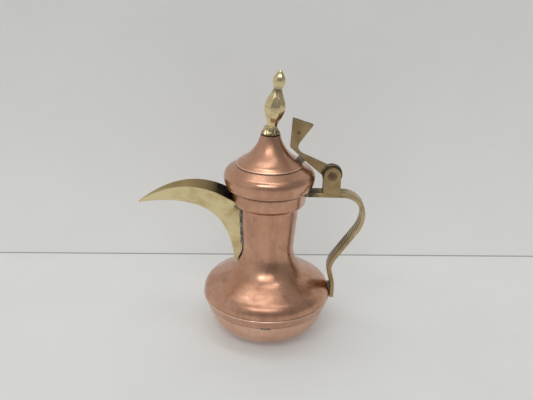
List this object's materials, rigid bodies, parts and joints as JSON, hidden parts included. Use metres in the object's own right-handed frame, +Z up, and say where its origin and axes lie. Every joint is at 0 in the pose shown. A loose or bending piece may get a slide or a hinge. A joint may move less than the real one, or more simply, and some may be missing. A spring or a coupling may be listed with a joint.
{
  "type": "coffee pot",
  "caption": "Copper coffee pot with round belly, tall neck, open folded brass spout, cast strap handle and a hinged bell-shaped lid with thumb lift and faceted finial.",
  "frame": {"origin": "centre of the flat base, on the surface that the pot stands on", "axes": "+Z up, -X towards the spout, +X towards the handle, Y across"},
  "size_m": [0.1812, 0.1044, 0.2189],
  "materials": {
    "copper": "satin",
    "sheet_brass": "satin",
    "cast_brass": "worn",
    "finial_brass": "polished",
    "pin_copper": "dark",
    "solder": "dull"
  },
  "bodies": {
    "pot": {"lower_bowl": "copper", "upper_body": "copper", "belly_band": "copper", "mouth_collar": "copper", "spout": "sheet_brass", "handle": "cast_brass", "handle_foot_solder": "solder", "hinge_pin": "pin_copper"},
    "lid": {"lid_ring": "copper", "lid_bell": "copper", "lid_flange": "copper", "finial_foot": "finial_brass", "finial": "finial_brass", "finial_washer": "sheet_brass", "lid_arm": "cast_brass", "arm_solder": "solder"}
  },
  "joints": [
    {"name": "lid_hinge", "type": "hinge", "parent": "pot", "child": "lid", "pos_m": [0.0492, 0, 0.138], "axis": [0, 1, 0], "range_deg": [0, 160]}
  ]
}
